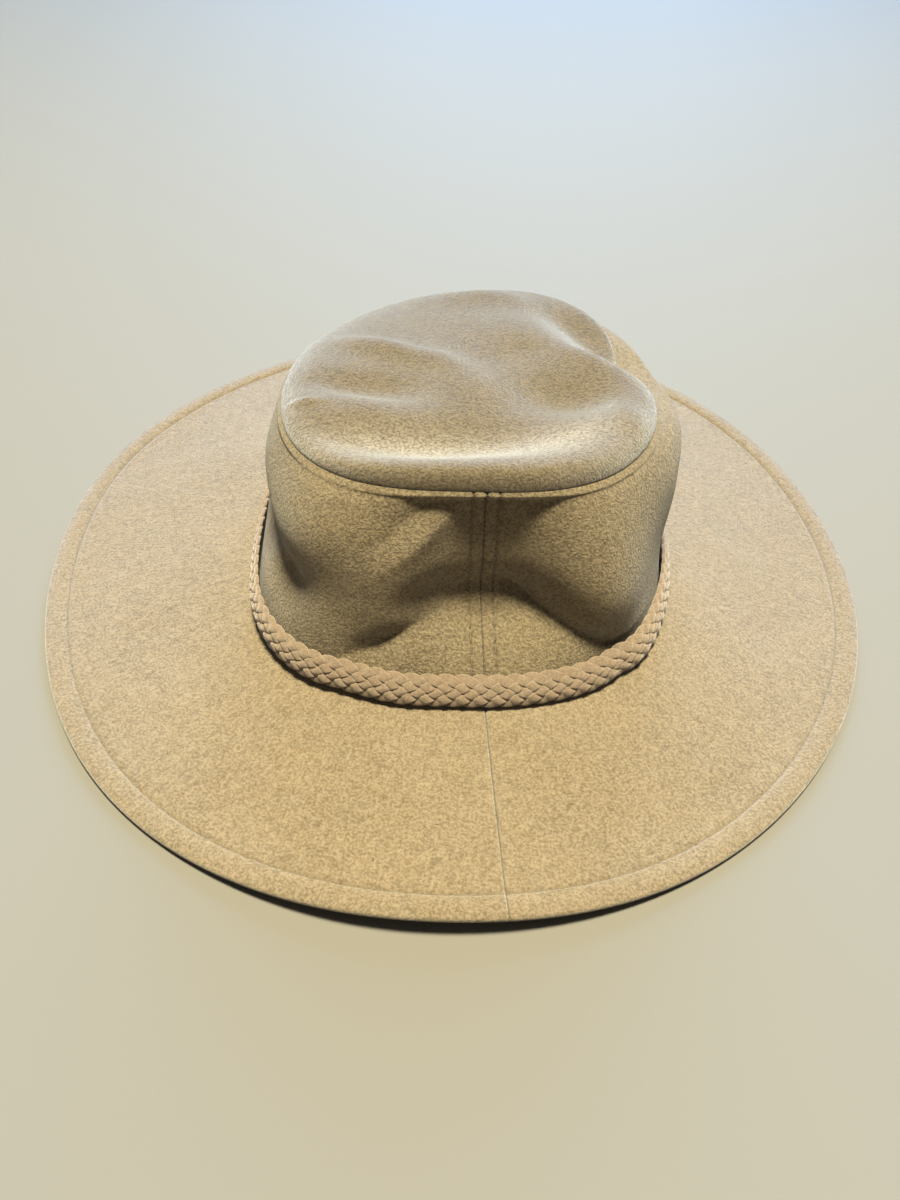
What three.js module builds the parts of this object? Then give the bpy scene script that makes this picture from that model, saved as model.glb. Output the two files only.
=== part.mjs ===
// A wide-brimmed floppy hat of soft wool felt cloth, lying on its brim as it was put down.
// Millimetres, +Z up.  The origin is the middle of the brim, on the surface that it lies
// on.  Angles turn anticlockwise from +X about the middle of the crown, seen from above.
import * as THREE from "three";

// ---- driving sizes -------------------------------------------------------------------
const CLOTH = 2.6;                 // felt cloth of the crown, with its fused backing
const BRIM_THICKNESS = 3.2;        // two plies of the same cloth, turned out at the edge
const SEWING_GAP = 0.3;            // clear space between two pieces that are sewn together
const SEAM_ANGLE = -84.5;          // the one closing seam, of crown side and brim alike
const SEAM_DEPTH = 0.8;
const SEAM_HALF_WIDTH = 0.6;

const BRIM_HALF_WIDTH = 174.7;     // along X
const BRIM_HALF_LENGTH = 187.3;    // along Y
const BRIM_FLAT_FROM = 0.86;       // share of the brim's width from which it lies flat
const BRIM_SLOPE = 1.15;           // exponent of the slope: 1 is a straight cone
const CROWN_X = 3;                 // the crown sits a little to one side of the brim
const CROWN_Y = 0;
const CROWN_BASE_HEIGHT = 14;      // brim top where the crown is sewn on
const HEAD_HALF_WIDTH = 84.5;        // outside of the crown side at the brim
const HEAD_HALF_LENGTH = 104;
const HEAD_SQUARENESS = 2.6;       // exponent of the oval: 2 is an ellipse, more is squarer
const SIDE_BELLY = 4;              // how far the crown side swells between its seams
const WELT_RISE = 0.8;             // standing welt just under the seam of the top panel
const WELT_DROP = 1.5;
const WELT_HALF_WIDTH = 0.8;
const TIP_HALF_WIDTH = 70;         // the oval top panel
const TIP_HALF_LENGTH = 77;
const TIP_SQUARENESS = 2.7;
const TIP_SEAM_HEIGHT = 84;
const TIP_MIDDLE_HEIGHT = 81;      // height of the seam's plane in the middle
const TIP_DOME = 9;                // rise of the top panel over its seam
const SHOULDER = 5;                // exponents of that rise: how tightly the edge rolls
const SHOULDER_TIGHTNESS = 1.6;

const BAND_WIDTH = 10.8;           // flat braid round the crown
const BAND_THICKNESS = 2.8;
const BAND_LEAN = 12;              // degrees that the braid leans in against the crown
const BAND_CLEARANCE = 0.4;        // over the brim
const BRAID_SCALLOP = 0.4;

// ---- bends round the hat: angle and spread in degrees, amount in mm -------------------
const BRIM_EDGE_BENDS = [
  { angle: 125, amount: -2.2, spread: 18 },
  { angle: 163, amount: 1.2, spread: 14 },
  { angle: 196, amount: -1.2, spread: 18 },
  { angle: -130, amount: 1.2, spread: 16 },
  { angle: -88, amount: -1.0, spread: 16 },
  { angle: 10, amount: -1.0, spread: 20 },
];
const BRIM_CURL = { angle: -92, amount: 5.5, halfSpan: 34 };
const CROWN_BASE_BENDS = [
  { angle: -150, amount: -4, spread: 40 },
  { angle: -30, amount: 2, spread: 40 },
];
const HEAD_BENDS = [
  { angle: -131, amount: 5, spread: 20 },
];
const TIP_BENDS = [
  { angle: 42, amount: -5, spread: 22 },
  { angle: 17, amount: -6, spread: 14 },
  { angle: -18, amount: 2, spread: 20 },
  { angle: 140, amount: -4, spread: 26 },
];
const TIP_SEAM_BENDS = [
  { angle: -85, amount: 1.5, spread: 30 },
  { angle: 16, amount: -6, spread: 18 },
  { angle: 130, amount: -9, spread: 40 },
];
const BAND_STANDS_OFF = [
  { angle: 178, amount: 0.6, spread: 30 },
  { angle: -80, amount: 1.2, spread: 40 },
];
const SHOULDER_BENDS = [           // the front edge of the top panel is rolled more tightly
  { angle: -88, amount: 22, spread: 55 },
];
const BAND_LEANS = [               // degrees more that the braid leans in at the front
  { angle: -84, amount: 26, spread: 48 },
];
const BAND_RISES = [
  { angle: 225, amount: 2.8, spread: 30 },
];

// ---- folds of the crown side ---------------------------------------------------------
// Middle as angle and height over the brim, half length and half width in mm, turn of the
// length from upright in degrees, depth that the cloth goes in, and how crisp it is: an
// exponent of 2 is a soft hollow, 1 a sharp crease.
const FOLD_RADIUS = 88;            // turns degrees round the crown into mm along it
const SIDE_FOLDS = [
  { angle: -83, height: 26, length: 11.5, width: 24, turn: 0, depth: 12.5, crisp: 3 },
  { angle: -83, height: 46, length: 24, width: 24, turn: 0, depth: 12, crisp: 3 },
  { angle: -67, height: 20, length: 20, width: 4.5, turn: -56, depth: 6, crisp: 1.1 },
  { angle: -57, height: 32, length: 22, width: 16, turn: -20, depth: -6, crisp: 2 },
  { angle: -105, height: 17.5, length: 13, width: 5, turn: 62, depth: 5, crisp: 1.4 },
  { angle: -99, height: 33, length: 9, width: 7, turn: 50, depth: 3, crisp: 2 },
  { angle: -98.5, height: 56, length: 15, width: 4, turn: 50, depth: -1.5, crisp: 1.5 },
  { angle: -103, height: 62, length: 12, width: 5, turn: 50, depth: 2.5, crisp: 1.5 },
  { angle: -124, height: 57, length: 16, width: 18, turn: 0, depth: -4, crisp: 2 },
  { angle: -131, height: 31, length: 11, width: 9, turn: 90, depth: 5.5, crisp: 1.6 },
  { angle: -152, height: 35, length: 22, width: 11, turn: 90, depth: 10, crisp: 2 },
  { angle: 10, height: 60, length: 60, width: 12, turn: 90, depth: -8, crisp: 2 },
  { angle: 18, height: 60, length: 24, width: 12, turn: 90, depth: -5, crisp: 2 },
  { angle: -15, height: 42, length: 30, width: 16, turn: 90, depth: -3, crisp: 2 },
];

// ---- folds of the top panel ----------------------------------------------------------
// Middle from the crown's axis, half length and half width, turn of the length in degrees
// from the hat's width, and height: above 0 a ridge, below 0 a hollow.
const TIP_FOLDS = [
  { x: 5, y: 57, length: 26, width: 9, turn: -8, height: 3.5 },
  { x: 22, y: 20, length: 24, width: 15, turn: -48, height: 4 },
  { x: 48, y: 5, length: 17, width: 8, turn: -28, height: 4 },
  { x: 50, y: 33, length: 28, width: 12, turn: -50, height: -9 },
  { x: -33, y: 7, length: 24, width: 7, turn: -24, height: 4 },
  { x: -8, y: -5, length: 12, width: 8, turn: -50, height: 2.5 },
  { x: 2, y: -20, length: 16, width: 12, turn: 0, height: 2.5 },
  { x: -38, y: -21, length: 24, width: 8, turn: -8, height: -4 },
  { x: -34, y: -38, length: 18, width: 8, turn: -14, height: 1.6 },
  { x: -59, y: -34.5, length: 8, width: 2.5, turn: 0, height: 1.5 },
  { x: -50, y: -50, length: 14, width: 6, turn: -20, height: -1.5 },
  { x: 38, y: -22, length: 22, width: 12, turn: 6, height: -6 },
  { x: 60, y: -38, length: 8, width: 12, turn: 30, height: 2 },
  { x: -10, y: -54, length: 42, width: 12, turn: 4, height: -7.5 },
  { x: 14, y: -42, length: 30, width: 14, turn: 0, height: -2 },
];

// ---- how finely each piece is divided -------------------------------------------------
const ROUND_STEPS = 74;
const FRONT_CROWDING = 0.4;        // share by which the steps crowd towards the front
const SEAM_SIDE = 0.7;             // degrees from the closing seam to the columns beside it
const BRIM_TOP_ROWS = [0, 0.12, 0.26, 0.4, 0.54, 0.68, 0.8, 0.87, 0.93];
const BRIM_EDGE_TURNS = [90, 50, 10, -30, -90];
const BRIM_UNDER_ROWS = [0.86, 0.7, 0.45, 0.2, 0];
const SIDE_ROWS = [0, 0.06, 0.12, 0.19, 0.27, 0.35, 0.43, 0.51, 0.59, 0.67, 0.75, 0.83, 0.89, 0.93, 0.96, 0.978, 1];
const SIDE_INNER_ROWS = [1, 0.9, 0.78, 0.66, 0.54, 0.42, 0.3, 0.18, 0.08, 0];
const TIP_ROWS = [0.2, 0.4, 0.55, 0.68, 0.78, 0.86, 0.92, 0.96, 0.985, 1];
const TIP_INNER_ROWS = [1, 0.97, 0.9, 0.78, 0.6, 0.35];
const BAND_STEPS = 180;
const BAND_STEPS_PER_BEND = 2;
const BAND_TOUCHES = [0, 2.7, 5.4, 8.1, 10.8];
const BAND_SECTION = [
  { out: -1, up: -0.8 },
  { out: 0, up: -1 },
  { out: 1, up: -0.7 },
  { out: 1, up: 0.7 },
  { out: 0, up: 1 },
  { out: -1, up: 0.8 },
];

// ---- shapes --------------------------------------------------------------------------
const rad = THREE.MathUtils.degToRad;
const lerp = THREE.MathUtils.lerp;
const smoothstep = THREE.MathUtils.smoothstep;

function turnFrom(angle, start) {
  return ((((angle - start) % 360) + 540) % 360) - 180;
}

function bends(rows, angle) {
  let sum = 0;
  for (const row of rows) {
    sum += row.amount * Math.exp(-((turnFrom(angle, row.angle) / row.spread) ** 2));
  }
  return sum;
}

function oval(angle, halfWidth, halfLength, squareness) {
  const across = Math.abs(Math.cos(rad(angle)) / halfWidth) ** squareness;
  const along = Math.abs(Math.sin(rad(angle)) / halfLength) ** squareness;
  return (across + along) ** (-1 / squareness);
}

function headRadius(angle) {
  const round = oval(angle, HEAD_HALF_WIDTH, HEAD_HALF_LENGTH, HEAD_SQUARENESS);
  return round + bends(HEAD_BENDS, angle);
}

function tipRadius(angle) {
  const round = oval(angle, TIP_HALF_WIDTH, TIP_HALF_LENGTH, TIP_SQUARENESS);
  return round + bends(TIP_BENDS, angle);
}

function crownBase(angle) {
  return CROWN_BASE_HEIGHT + bends(CROWN_BASE_BENDS, angle);
}

function tipSeamHeight(angle) {
  return TIP_SEAM_HEIGHT + bends(TIP_SEAM_BENDS, angle);
}

// The closing seam is a shallow furrow where the two turned edges of the cloth meet.
function seamFurrow(angle, radius) {
  const aside = rad(turnFrom(angle, SEAM_ANGLE)) * radius;
  return SEAM_DEPTH * Math.exp(-((aside / SEAM_HALF_WIDTH) ** 2));
}

// A point at an angle, a distance from the crown's middle and a height.
function place(angle, radius, height) {
  return new THREE.Vector3(
    CROWN_X + radius * Math.cos(rad(angle)),
    CROWN_Y + radius * Math.sin(rad(angle)),
    height,
  );
}

// The angles of the columns round a piece: closer together on the folded front, with one
// on each side of the closing seam so that its furrow keeps its width.
function anglesRound() {
  const angles = [];
  for (let step = 0; step < ROUND_STEPS; step += 1) {
    const share = step / ROUND_STEPS;
    const crowding = FRONT_CROWDING * Math.sin(2 * Math.PI * share) / (2 * Math.PI);
    angles.push(SEAM_ANGLE + 360 * (share - crowding));
  }
  angles.splice(1, 0, SEAM_ANGLE + SEAM_SIDE);
  angles.push(SEAM_ANGLE + 360 - SEAM_SIDE);
  return angles;
}

// A closed body from rings of points, each with the same count.  Without a first and last
// point the last ring joins the first; with them the two ends are closed by fans.
function ringBody(rings, firstPoint, lastPoint) {
  const count = rings[0].length;
  const points = rings.flat();
  const faces = [];
  const joins = firstPoint ? rings.length - 1 : rings.length;
  for (let ring = 0; ring < joins; ring += 1) {
    const here = ring * count;
    const next = ((ring + 1) % rings.length) * count;
    for (let column = 0; column < count; column += 1) {
      const beside = (column + 1) % count;
      faces.push(here + column, here + beside, next + beside);
      faces.push(here + column, next + beside, next + column);
    }
  }
  if (firstPoint) {
    const first = points.push(firstPoint) - 1;
    const last = points.push(lastPoint) - 1;
    const lastRing = (rings.length - 1) * count;
    for (let column = 0; column < count; column += 1) {
      const beside = (column + 1) % count;
      faces.push(first, beside, column);
      faces.push(last, lastRing + column, lastRing + beside);
    }
  }
  const geometry = new THREE.BufferGeometry().setFromPoints(points);
  geometry.setIndex(faces);
  geometry.computeVertexNormals();
  return geometry;
}

// ---- brim ----------------------------------------------------------------------------
// The distance from the crown's middle to the brim's outer edge.
function brimReach(angle) {
  const x = Math.cos(rad(angle));
  const y = Math.sin(rad(angle));
  const a = (x / BRIM_HALF_WIDTH) ** 2 + (y / BRIM_HALF_LENGTH) ** 2;
  const b = 2 * (CROWN_X * x / BRIM_HALF_WIDTH ** 2 + CROWN_Y * y / BRIM_HALF_LENGTH ** 2);
  const c = (CROWN_X / BRIM_HALF_WIDTH) ** 2 + (CROWN_Y / BRIM_HALF_LENGTH) ** 2 - 1;
  return (-b + Math.sqrt(b * b - 4 * a * c)) / (2 * a) + bends(BRIM_EDGE_BENDS, angle);
}

// Height of the brim's underside: it slopes down from the crown and lies flat in a band
// along the edge, apart from the one stretch of the front that curls up off the surface.
function brimUnderside(angle, share) {
  const slope = Math.max(0, 1 - share / BRIM_FLAT_FROM) ** BRIM_SLOPE;
  const aside = Math.abs(turnFrom(angle, BRIM_CURL.angle)) / BRIM_CURL.halfSpan;
  const curl = BRIM_CURL.amount * (1 - smoothstep(aside, 0, 1)) * share ** 2;
  return (crownBase(angle) - BRIM_THICKNESS) * slope + curl;
}

function brimPoint(angle, share, above) {
  const inner = headRadius(angle) - CLOTH;
  const radius = lerp(inner, brimReach(angle), share);
  return place(angle, radius, brimUnderside(angle, share) + above);
}

function makeBrim() {
  const angles = anglesRound();
  const rings = [];
  for (const share of BRIM_TOP_ROWS) {
    rings.push(angles.map((angle) => {
      const radius = lerp(headRadius(angle), brimReach(angle), share);
      const top = BRIM_THICKNESS - seamFurrow(angle, radius);
      return brimPoint(angle, share, top);
    }));
  }
  for (const turn of BRIM_EDGE_TURNS) {
    rings.push(angles.map((angle) => {
      const back = BRIM_THICKNESS / 2 * (1 - Math.cos(rad(turn)));
      const above = BRIM_THICKNESS / 2 * (1 + Math.sin(rad(turn)));
      const width = brimReach(angle) - headRadius(angle) + CLOTH;
      return brimPoint(angle, 1 - back / width, above);
    }));
  }
  for (const share of BRIM_UNDER_ROWS) {
    rings.push(angles.map((angle) => brimPoint(angle, share, 0)));
  }
  return new THREE.Mesh(ringBody(rings.reverse()), feltCloth("#c2a67c"));
}

// ---- crown side ----------------------------------------------------------------------
// How far the folds push the cloth in at an angle and a height over the brim.
function foldDepth(angle, height) {
  let depth = 0;
  for (const fold of SIDE_FOLDS) {
    const across = rad(turnFrom(angle, fold.angle)) * FOLD_RADIUS;
    const up = height - fold.height;
    const turn = rad(fold.turn);
    const along = (up * Math.cos(turn) + across * Math.sin(turn)) / fold.length;
    const aside = (across * Math.cos(turn) - up * Math.sin(turn)) / fold.width;
    depth += fold.depth * Math.exp(-(along ** 2) - Math.abs(aside) ** fold.crisp);
  }
  return depth;
}

function sideRadius(angle, share) {
  const bottom = crownBase(angle) + SEWING_GAP;
  const top = tipSeamHeight(angle);
  const height = lerp(bottom, top, share);
  const belly = SIDE_BELLY * Math.sin(Math.PI * share ** 2);
  const free = smoothstep(share, 0, 0.16) * (1 - smoothstep(share, 0.93, 1));
  const fromTop = (top - height - WELT_DROP) / WELT_HALF_WIDTH;
  const welt = WELT_RISE * Math.exp(-(fromTop ** 2));
  const round = lerp(headRadius(angle), tipRadius(angle), share) + belly;
  return round - free * foldDepth(angle, height - bottom) + welt;
}

function sidePoint(angle, share, inward) {
  const height = lerp(crownBase(angle) + SEWING_GAP, tipSeamHeight(angle), share);
  const radius = sideRadius(angle, share);
  const furrow = inward > 0 ? 0 : seamFurrow(angle, radius);
  return place(angle, radius - furrow - inward, height);
}

function makeCrownSide() {
  const angles = anglesRound();
  const rings = [];
  for (const share of SIDE_ROWS) {
    rings.push(angles.map((angle) => sidePoint(angle, share, 0)));
  }
  for (const share of SIDE_INNER_ROWS) {
    rings.push(angles.map((angle) => sidePoint(angle, share, CLOTH)));
  }
  return new THREE.Mesh(ringBody(rings), feltCloth("#b89a6e"));
}

// ---- crown tip -----------------------------------------------------------------------
function tipFolds(x, y) {
  let sum = 0;
  for (const fold of TIP_FOLDS) {
    const turn = rad(fold.turn);
    const along = ((x - fold.x) * Math.cos(turn) + (y - fold.y) * Math.sin(turn)) / fold.length;
    const aside = ((y - fold.y) * Math.cos(turn) - (x - fold.x) * Math.sin(turn)) / fold.width;
    sum += fold.height * Math.exp(-(along ** 2) - aside ** 2);
  }
  return sum;
}

function tipPoint(angle, share, below) {
  const radius = (tipRadius(angle) - below) * share;
  const x = radius * Math.cos(rad(angle));
  const y = radius * Math.sin(rad(angle));
  const shoulder = SHOULDER + bends(SHOULDER_BENDS, angle);
  const roll = (1 - share ** shoulder) ** (1 / SHOULDER_TIGHTNESS);
  const seam = lerp(TIP_MIDDLE_HEIGHT, tipSeamHeight(angle), share ** 2);
  const rise = (TIP_DOME + tipFolds(x, y) - below) * roll;
  return place(angle, radius, seam + SEWING_GAP + rise);
}

function makeCrownTip() {
  const angles = anglesRound();
  const rings = [];
  for (const share of TIP_ROWS) {
    rings.push(angles.map((angle) => tipPoint(angle, share, 0)));
  }
  for (const share of TIP_INNER_ROWS) {
    rings.push(angles.map((angle) => tipPoint(angle, share, CLOTH)));
  }
  const body = ringBody(rings.reverse(), tipPoint(0, 0, CLOTH), tipPoint(0, 0, 0));
  return new THREE.Mesh(body, feltCloth("#c4aa82"));
}

// ---- hat band ------------------------------------------------------------------------
// A flat braid of felt strips, closed to a loop and dropped over the crown.  It leans
// against the crown side and bridges its hollows; its edges are scalloped where the
// strips turn back.
function bandBottom(angle) {
  return crownBase(angle) + BAND_CLEARANCE + bends(BAND_RISES, angle);
}

function bandLean(angle) {
  return rad(BAND_LEAN + bends(BAND_LEANS, angle));
}

function bandInside(angle) {
  const lean = bandLean(angle);
  const sideHeight = tipSeamHeight(angle) - crownBase(angle);
  let inside = 0;
  for (const up of BAND_TOUCHES) {
    const height = bandBottom(angle) - crownBase(angle) + up * Math.cos(lean);
    inside = Math.max(inside, sideRadius(angle, height / sideHeight) + up * Math.sin(lean));
  }
  return inside + SEWING_GAP + bends(BAND_STANDS_OFF, angle);
}

function bandPoint(angle, step, out, up) {
  const lean = bandLean(angle);
  const phase = 2 * Math.PI * step / BAND_STEPS_PER_BEND + (up > 0 ? Math.PI : 0);
  const scallop = BRAID_SCALLOP * Math.cos(phase) * Math.sign(up);
  const across = (up + 1) * BAND_WIDTH / 2 + scallop;
  const thick = (out + 1) * BAND_THICKNESS / 2;
  const radius = bandInside(angle) + thick * Math.cos(lean) - across * Math.sin(lean);
  return place(angle, radius, bandBottom(angle) + across * Math.cos(lean) + thick * Math.sin(lean));
}

function makeHatBand() {
  const rings = BAND_SECTION.map(({ out, up }) => {
    const ring = [];
    for (let step = 0; step < BAND_STEPS; step += 1) {
      ring.push(bandPoint(360 * step / BAND_STEPS, step, out, up));
    }
    return ring;
  });
  return new THREE.Mesh(ringBody(rings), feltCloth("#c3a485"));
}

// ---- material and assembly -----------------------------------------------------------
function feltCloth(color) {
  return new THREE.MeshStandardMaterial({ color, roughness: 0.95, metalness: 0 });
}

const hat = new THREE.Group();
const pieces = {
  brim: makeBrim(),
  crown_side: makeCrownSide(),
  crown_tip: makeCrownTip(),
  hat_band: makeHatBand(),
};
for (const [name, mesh] of Object.entries(pieces)) {
  mesh.name = name;
  hat.add(mesh);
}

export default hat;
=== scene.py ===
"""A wide-brimmed floppy hat of camel wool felt cloth with a plaited band, lying on its brim.

The brim is two plies of felt turned out at the edge and topstitched, the crown is one band
of felt closed by a seam, and the top is an oval panel sewn in with a standing welt.  A flat
plait of five felt strips is dropped over the crown.  Metres, +Z up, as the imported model;
the shapes are worked out in millimetres, as a hat maker measures them.
"""

import bpy
import numpy as np
from mathutils import Matrix, Vector


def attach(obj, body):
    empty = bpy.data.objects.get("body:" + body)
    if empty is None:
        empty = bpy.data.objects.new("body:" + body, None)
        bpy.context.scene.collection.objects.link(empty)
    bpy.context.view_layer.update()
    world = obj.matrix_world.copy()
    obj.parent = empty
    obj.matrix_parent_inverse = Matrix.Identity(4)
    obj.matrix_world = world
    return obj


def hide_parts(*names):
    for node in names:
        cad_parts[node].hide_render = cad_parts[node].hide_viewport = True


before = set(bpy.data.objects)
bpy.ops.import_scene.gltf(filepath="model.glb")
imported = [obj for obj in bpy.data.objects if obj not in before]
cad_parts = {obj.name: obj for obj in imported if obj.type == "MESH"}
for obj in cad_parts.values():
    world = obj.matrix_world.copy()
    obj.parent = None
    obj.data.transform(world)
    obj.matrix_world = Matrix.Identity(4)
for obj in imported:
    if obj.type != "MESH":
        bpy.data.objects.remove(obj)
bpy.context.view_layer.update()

MM = 0.001


# ---- viewpoint, light and floor --------------------------------------------------------
# The hat is seen from the front, half from above, by someone standing at the table.  Two
# wide soft lamps stand far behind and give cool light at a low angle, a small warm white
# one hangs overhead, and the floor is a plain pale sheet.
EYE = Vector((-0.000554, -0.314718, 0.264178))
LOOKING = Vector((0.0, 0.72176, -0.69214))
RIGHTWARD = Vector((0.99939, 0.02416, 0.02519))
UPWARD = Vector((-0.03490, 0.69172, 0.72132))

camera_data = bpy.data.cameras.new("eye")
camera_data.sensor_fit = "VERTICAL"
camera_data.sensor_height = 36.0
camera_data.lens = 27.03
camera_data.clip_start = 0.02
camera = bpy.data.objects.new("eye", camera_data)
camera.matrix_world = Matrix(
    (
        (RIGHTWARD.x, UPWARD.x, -LOOKING.x, EYE.x),
        (RIGHTWARD.y, UPWARD.y, -LOOKING.y, EYE.y),
        (RIGHTWARD.z, UPWARD.z, -LOOKING.z, EYE.z),
        (0, 0, 0, 1),
    )
)
bpy.context.scene.collection.objects.link(camera)
bpy.context.scene.camera = camera
bpy.context.scene.view_settings.view_transform = "Standard"


def soft_lamp(name, place, aim, size, watts, colour):
    data = bpy.data.lights.new(name, "AREA")
    data.size = size
    data.energy = watts
    data.color = colour
    lamp = bpy.data.objects.new(name, data)
    lamp.location = place
    lamp.rotation_euler = (Vector(aim) - Vector(place)).to_track_quat("-Z", "Y").to_euler()
    lamp.visible_camera = False
    bpy.context.scene.collection.objects.link(lamp)


soft_lamp("window_light", (0.4, 12.0, 4.8), (0, 0, 0.04), 7.2, 3400, (0.30, 0.57, 1.0))
soft_lamp("side_window_light", (4.8, 11.2, 5.4), (0, 0, 0.04), 7.2, 800, (0.26, 0.53, 1.0))
soft_lamp("hanging_lamp", (0.08, 0.06, 3.0), (0, 0, 0.04), 0.60, 262, (1.0, 0.93, 0.67))

world = bpy.data.worlds.new("room_light")
world.use_nodes = True
world.node_tree.nodes["Background"].inputs["Color"].default_value = (1.0, 0.95, 0.88, 1)
world.node_tree.nodes["Background"].inputs["Strength"].default_value = 0.15
bpy.context.scene.world = world

FLOOR = 6.0
floor_mesh = bpy.data.meshes.new("floor")
floor_mesh.from_pydata(
    [(-FLOOR, -FLOOR, 0), (FLOOR, -FLOOR, 0), (FLOOR, FLOOR, 0), (-FLOOR, FLOOR, 0)],
    [],
    [(0, 1, 2, 3)],
)
floor_paint = bpy.data.materials.new("floor_paint")
floor_paint.use_nodes = True
floor_shader = floor_paint.node_tree.nodes["Principled BSDF"]
floor_shader.inputs["Base Color"].default_value = (0.175, 0.162, 0.138, 1)
floor_shader.inputs["Roughness"].default_value = 0.8
floor_mesh.materials.append(floor_paint)
floor = bpy.data.objects.new("floor", floor_mesh)
bpy.context.scene.collection.objects.link(floor)


# ---- brim ------------------------------------------------------------------------------
# Two flat rings of the same felt cloth, closed by a short seam at the front, sewn together
# along the outer edge and turned right side out.  A row of matched cotton stitches holds the
# edge nine millimetres in.  The brim slopes down from the crown and lies on the table.
FELT = 2.6
BRIM_THICK = 3.2
SEWING_GAP = 0.3
SEAM_ANGLE = -84.5
SEAM_DEPTH = 0.8
SEAM_HALF_WIDTH = 0.6
BRIM_HALF_WIDTH = 174.7
BRIM_HALF_LENGTH = 187.3
BRIM_FLAT_FROM = 0.86
BRIM_SLOPE = 1.15
CROWN_X, CROWN_Y = 3.0, 0.0
CROWN_BASE_HEIGHT = 14.0
HEAD_HALF_WIDTH = 84.5
HEAD_HALF_LENGTH = 104.0
HEAD_SQUARENESS = 2.6
HEM_IN = 9.0
HEM_DEPTH = 0.75
HEM_HALF_WIDTH = 0.9
HEM_PUFF = 0.6
BRIM_BILLOW = 0.35
BRIM_BILLOW_FADES = (0.05, 0.2, 0.82, 0.9)
# angle, amount, spread
BRIM_EDGE_BENDS = [
    (125, -2.2, 18),
    (163, 1.2, 14),
    (196, -1.2, 18),
    (-130, 1.2, 16),
    (-88, -1.0, 16),
    (10, -1.0, 20),
]
BRIM_CURL_ANGLE, BRIM_CURL, BRIM_CURL_HALF_SPAN = -92, 5.5, 34
CROWN_BASE_BENDS = [(-150, -4, 40), (-30, 2, 40)]
HEAD_BENDS = [(-131, 5, 20)]


def turn_from(angle, start):
    return (angle - start + 180.0) % 360.0 - 180.0


def bends(rows, angle):
    """The sum of smooth rises round the hat, from rows of angle, amount and spread."""
    return sum(amount * np.exp(-((turn_from(angle, at) / spread) ** 2)) for at, amount, spread in rows)


def oval(angle, half_width, half_length, squareness):
    across = np.abs(np.cos(np.radians(angle)) / half_width) ** squareness
    along = np.abs(np.sin(np.radians(angle)) / half_length) ** squareness
    return (across + along) ** (-1.0 / squareness)


def smooth_step(value, low, high):
    share = np.clip((value - low) / (high - low), 0, 1)
    return share * share * (3 - 2 * share)


def fade_in_out(value, starts, full, fading, gone):
    return smooth_step(value, starts, full) * (1 - smooth_step(value, fading, gone))


def head_radius(angle):
    return oval(angle, HEAD_HALF_WIDTH, HEAD_HALF_LENGTH, HEAD_SQUARENESS) + bends(HEAD_BENDS, angle)


def crown_base(angle):
    return CROWN_BASE_HEIGHT + bends(CROWN_BASE_BENDS, angle)


def seam_furrow(angle, radius):
    aside = np.radians(turn_from(angle, SEAM_ANGLE)) * radius
    return SEAM_DEPTH * np.exp(-((aside / SEAM_HALF_WIDTH) ** 2))


def place(angle, radius, height):
    """Points in millimetres at an angle and distance from the crown's middle."""
    x = CROWN_X + radius * np.cos(np.radians(angle))
    y = CROWN_Y + radius * np.sin(np.radians(angle))
    return np.stack(np.broadcast_arrays(x, y, height), axis=-1)


def brim_reach(angle):
    x, y = np.cos(np.radians(angle)), np.sin(np.radians(angle))
    a = (x / BRIM_HALF_WIDTH) ** 2 + (y / BRIM_HALF_LENGTH) ** 2
    b = 2 * (CROWN_X * x / BRIM_HALF_WIDTH**2 + CROWN_Y * y / BRIM_HALF_LENGTH**2)
    c = (CROWN_X / BRIM_HALF_WIDTH) ** 2 + (CROWN_Y / BRIM_HALF_LENGTH) ** 2 - 1
    return (-b + np.sqrt(b * b - 4 * a * c)) / (2 * a) + bends(BRIM_EDGE_BENDS, angle)


def billow(angle, along, waves, seed):
    """A gentle, uneven swell of soft cloth, between -1 and 1."""
    draw = np.random.default_rng(seed)
    swell = 0.0
    for round_waves, along_waves in waves:
        phase, lean = draw.uniform(0, 2 * np.pi, 2)
        swell = swell + np.sin(np.radians(angle) * round_waves + phase + along_waves * along + lean)
    return swell / len(waves)


BRIM_WAVES = [(3, 2.1), (5, -3.3), (8, 4.0), (11, -5.0), (-7, 6.2), (14, 8.0)]


def brim_underside(angle, share):
    slope = np.maximum(0, 1 - share / BRIM_FLAT_FROM) ** BRIM_SLOPE
    aside = np.abs(turn_from(angle, BRIM_CURL_ANGLE)) / BRIM_CURL_HALF_SPAN
    curl = BRIM_CURL * (1 - smooth_step(aside, 0, 1)) * share**2
    return (crown_base(angle) - BRIM_THICK) * slope + curl


def brim_point(angle, share, above):
    inner = head_radius(angle) - FELT
    radius = inner + (brim_reach(angle) - inner) * share
    return place(angle, radius, brim_underside(angle, share) + above)


def brim_top(angle, share):
    """Height of the brim's upper ply over its underside, with its seam, hem and billows."""
    inner = head_radius(angle) - FELT
    width = brim_reach(angle) - inner
    radius = inner + width * share
    from_edge = width * (1 - share)
    valley = HEM_DEPTH * np.exp(-(((from_edge - HEM_IN) / HEM_HALF_WIDTH) ** 2))
    puff = HEM_PUFF * np.exp(-(((from_edge - HEM_IN / 2) / (HEM_IN / 3)) ** 2))
    swell = BRIM_BILLOW * fade_in_out(share, *BRIM_BILLOW_FADES) * billow(angle, share, BRIM_WAVES, 3)
    return BRIM_THICK - seam_furrow(angle, radius) - valley + puff + swell


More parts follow.
